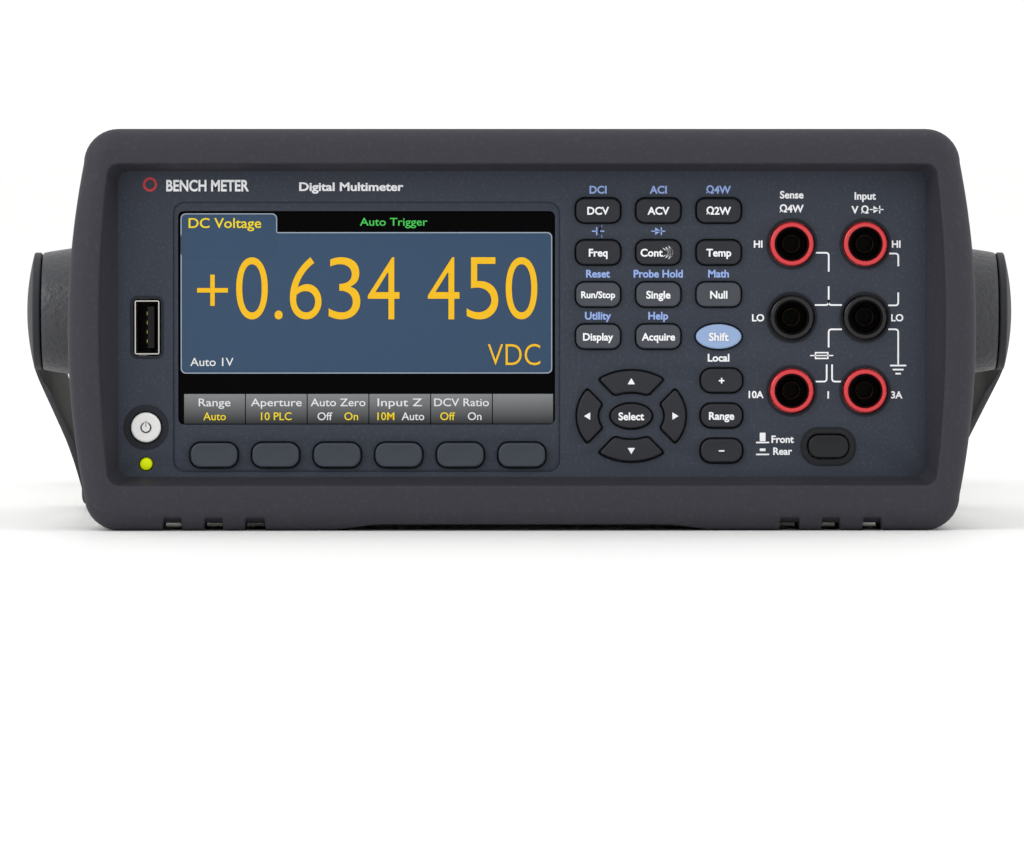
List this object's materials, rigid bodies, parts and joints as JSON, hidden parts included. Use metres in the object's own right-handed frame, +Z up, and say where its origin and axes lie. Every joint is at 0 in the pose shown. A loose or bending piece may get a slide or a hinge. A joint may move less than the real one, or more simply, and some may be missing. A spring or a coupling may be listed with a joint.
{
  "type": "bench multimeter",
  "caption": "Box-shaped bench digital multimeter with rubber end bumpers, swinging carrying handle, colour display, key pads and banana jacks.",
  "frame": {"origin": "centre of the footprint on the table, under the bumpers", "axes": "+X to the right seen from the front, +Y towards the rear, +Z up"},
  "size_m": [0.2612, 0.3032, 0.1038],
  "materials": {
    "bumper_rubber": "matte",
    "sleeve_paint": "satin",
    "bare_metal": "satin",
    "panel_plastic": "fine speckle",
    "screen_glass": "gloss",
    "display_back": "matte",
    "board_green": "satin",
    "soft_key_plastic": "matte",
    "dark_key": "matte",
    "grey_key": "matte",
    "shift_blue": "matte",
    "light_plastic": "satin",
    "lamp_green": "lit",
    "connector_metal": "satin",
    "jack_red": "gloss",
    "jack_black": "gloss",
    "black_plastic": "matte",
    "earth_brass": "satin",
    "transformer_iron": "varnished",
    "handle_plastic": "grained"
  },
  "bodies": {
    "instrument": {"front_bumper": "bumper_rubber", "rear_bumper": "bumper_rubber", "case_cover": "sleeve_paint", "chassis_tray": "bare_metal", "rear_panel": "bare_metal", "option_cover": "bare_metal", "front_panel": "panel_plastic", "display_window": "screen_glass", "display_module": "display_back", "front_board": "board_green", "main_board": "board_green", "power_led": "lamp_green", "usb_host_socket": "connector_metal", "lan_socket": "connector_metal", "usb_device_socket": "connector_metal", "trigger_connector": "connector_metal", "meter_complete_connector": "connector_metal", "sense_high_jack": "jack_red", "input_high_jack": "jack_red", "current_large_jack": "jack_red", "current_small_jack": "jack_red", "sense_low_jack": "jack_black", "input_low_jack": "jack_black", "power_inlet": "black_plastic", "fuse_drawer": "black_plastic", "rear_terminals": "black_plastic", "current_fuse_cap": "black_plastic", "earth_post": "earth_brass", "transformer": "transformer_iron", "hub_boss_left": "handle_plastic", "hub_boss_right": "handle_plastic"},
    "handle": {"handle": "handle_plastic"},
    "soft_key_1": {"soft_key_1": "soft_key_plastic"},
    "soft_key_2": {"soft_key_2": "soft_key_plastic"},
    "soft_key_3": {"soft_key_3": "soft_key_plastic"},
    "soft_key_4": {"soft_key_4": "soft_key_plastic"},
    "soft_key_5": {"soft_key_5": "soft_key_plastic"},
    "soft_key_6": {"soft_key_6": "soft_key_plastic"},
    "dc_voltage_key": {"dc_voltage_key": "dark_key"},
    "ac_voltage_key": {"ac_voltage_key": "dark_key"},
    "resistance_key": {"resistance_key": "dark_key"},
    "frequency_key": {"frequency_key": "dark_key"},
    "continuity_key": {"continuity_key": "dark_key"},
    "temperature_key": {"temperature_key": "dark_key"},
    "run_key": {"run_key": "grey_key"},
    "single_key": {"single_key": "grey_key"},
    "null_key": {"null_key": "grey_key"},
    "display_key": {"display_key": "grey_key"},
    "acquire_key": {"acquire_key": "grey_key"},
    "shift_key": {"shift_key": "shift_blue"},
    "range_up_key": {"range_up_key": "grey_key"},
    "range_auto_key": {"range_auto_key": "grey_key"},
    "range_down_key": {"range_down_key": "grey_key"},
    "nav_right_key": {"nav_right_key": "grey_key"},
    "nav_up_key": {"nav_up_key": "grey_key"},
    "nav_left_key": {"nav_left_key": "grey_key"},
    "nav_down_key": {"nav_down_key": "grey_key"},
    "select_key": {"select_key": "grey_key"},
    "power_key": {"power_key": "light_plastic"},
    "terminal_switch": {"terminal_switch": "dark_key"}
  },
  "joints": [
    {"name": "handle_swing", "type": "hinge", "parent": "instrument", "child": "handle", "pos_m": [0, -0.0916, 0.0555], "axis": [-1, 0, 0], "range_deg": [0, 147]},
    {"name": "soft_key_1_press", "type": "slide", "parent": "instrument", "child": "soft_key_1", "axis": [0, 1, 0], "range_m": [0, 0.001], "stiffness_N_per_m": 800, "springref_m": -0.001},
    {"name": "soft_key_2_press", "type": "slide", "parent": "instrument", "child": "soft_key_2", "axis": [0, 1, 0], "range_m": [0, 0.001], "stiffness_N_per_m": 800, "springref_m": -0.001},
    {"name": "soft_key_3_press", "type": "slide", "parent": "instrument", "child": "soft_key_3", "axis": [0, 1, 0], "range_m": [0, 0.001], "stiffness_N_per_m": 800, "springref_m": -0.001},
    {"name": "soft_key_4_press", "type": "slide", "parent": "instrument", "child": "soft_key_4", "axis": [0, 1, 0], "range_m": [0, 0.001], "stiffness_N_per_m": 800, "springref_m": -0.001},
    {"name": "soft_key_5_press", "type": "slide", "parent": "instrument", "child": "soft_key_5", "axis": [0, 1, 0], "range_m": [0, 0.001], "stiffness_N_per_m": 800, "springref_m": -0.001},
    {"name": "soft_key_6_press", "type": "slide", "parent": "instrument", "child": "soft_key_6", "axis": [0, 1, 0], "range_m": [0, 0.001], "stiffness_N_per_m": 800, "springref_m": -0.001},
    {"name": "dc_voltage_key_press", "type": "slide", "parent": "instrument", "child": "dc_voltage_key", "axis": [0, 1, 0], "range_m": [0, 0.001], "stiffness_N_per_m": 800, "springref_m": -0.001},
    {"name": "ac_voltage_key_press", "type": "slide", "parent": "instrument", "child": "ac_voltage_key", "axis": [0, 1, 0], "range_m": [0, 0.001], "stiffness_N_per_m": 800, "springref_m": -0.001},
    {"name": "resistance_key_press", "type": "slide", "parent": "instrument", "child": "resistance_key", "axis": [0, 1, 0], "range_m": [0, 0.001], "stiffness_N_per_m": 800, "springref_m": -0.001},
    {"name": "frequency_key_press", "type": "slide", "parent": "instrument", "child": "frequency_key", "axis": [0, 1, 0], "range_m": [0, 0.001], "stiffness_N_per_m": 800, "springref_m": -0.001},
    {"name": "continuity_key_press", "type": "slide", "parent": "instrument", "child": "continuity_key", "axis": [0, 1, 0], "range_m": [0, 0.001], "stiffness_N_per_m": 800, "springref_m": -0.001},
    {"name": "temperature_key_press", "type": "slide", "parent": "instrument", "child": "temperature_key", "axis": [0, 1, 0], "range_m": [0, 0.001], "stiffness_N_per_m": 800, "springref_m": -0.001},
    {"name": "run_key_press", "type": "slide", "parent": "instrument", "child": "run_key", "axis": [0, 1, 0], "range_m": [0, 0.001], "stiffness_N_per_m": 800, "springref_m": -0.001},
    {"name": "single_key_press", "type": "slide", "parent": "instrument", "child": "single_key", "axis": [0, 1, 0], "range_m": [0, 0.001], "stiffness_N_per_m": 800, "springref_m": -0.001},
    {"name": "null_key_press", "type": "slide", "parent": "instrument", "child": "null_key", "axis": [0, 1, 0], "range_m": [0, 0.001], "stiffness_N_per_m": 800, "springref_m": -0.001},
    {"name": "display_key_press", "type": "slide", "parent": "instrument", "child": "display_key", "axis": [0, 1, 0], "range_m": [0, 0.001], "stiffness_N_per_m": 800, "springref_m": -0.001},
    {"name": "acquire_key_press", "type": "slide", "parent": "instrument", "child": "acquire_key", "axis": [0, 1, 0], "range_m": [0, 0.001], "stiffness_N_per_m": 800, "springref_m": -0.001},
    {"name": "shift_key_press", "type": "slide", "parent": "instrument", "child": "shift_key", "axis": [0, 1, 0], "range_m": [0, 0.001], "stiffness_N_per_m": 800, "springref_m": -0.001},
    {"name": "range_up_key_press", "type": "slide", "parent": "instrument", "child": "range_up_key", "axis": [0, 1, 0], "range_m": [0, 0.001], "stiffness_N_per_m": 800, "springref_m": -0.001},
    {"name": "range_auto_key_press", "type": "slide", "parent": "instrument", "child": "range_auto_key", "axis": [0, 1, 0], "range_m": [0, 0.001], "stiffness_N_per_m": 800, "springref_m": -0.001},
    {"name": "range_down_key_press", "type": "slide", "parent": "instrument", "child": "range_down_key", "axis": [0, 1, 0], "range_m": [0, 0.001], "stiffness_N_per_m": 800, "springref_m": -0.001},
    {"name": "nav_right_key_press", "type": "slide", "parent": "instrument", "child": "nav_right_key", "axis": [0, 1, 0], "range_m": [0, 0.001], "stiffness_N_per_m": 800, "springref_m": -0.001},
    {"name": "nav_up_key_press", "type": "slide", "parent": "instrument", "child": "nav_up_key", "axis": [0, 1, 0], "range_m": [0, 0.001], "stiffness_N_per_m": 800, "springref_m": -0.001},
    {"name": "nav_left_key_press", "type": "slide", "parent": "instrument", "child": "nav_left_key", "axis": [0, 1, 0], "range_m": [0, 0.001], "stiffness_N_per_m": 800, "springref_m": -0.001},
    {"name": "nav_down_key_press", "type": "slide", "parent": "instrument", "child": "nav_down_key", "axis": [0, 1, 0], "range_m": [0, 0.001], "stiffness_N_per_m": 800, "springref_m": -0.001},
    {"name": "select_key_press", "type": "slide", "parent": "instrument", "child": "select_key", "axis": [0, 1, 0], "range_m": [0, 0.001], "stiffness_N_per_m": 800, "springref_m": -0.001},
    {"name": "power_key_press", "type": "slide", "parent": "instrument", "child": "power_key", "axis": [0, 1, 0], "range_m": [0, 0.001], "stiffness_N_per_m": 800, "springref_m": -0.001},
    {"name": "terminal_switch_press", "type": "slide", "parent": "instrument", "child": "terminal_switch", "axis": [0, 1, 0], "range_m": [0, 0.003]}
  ]
}
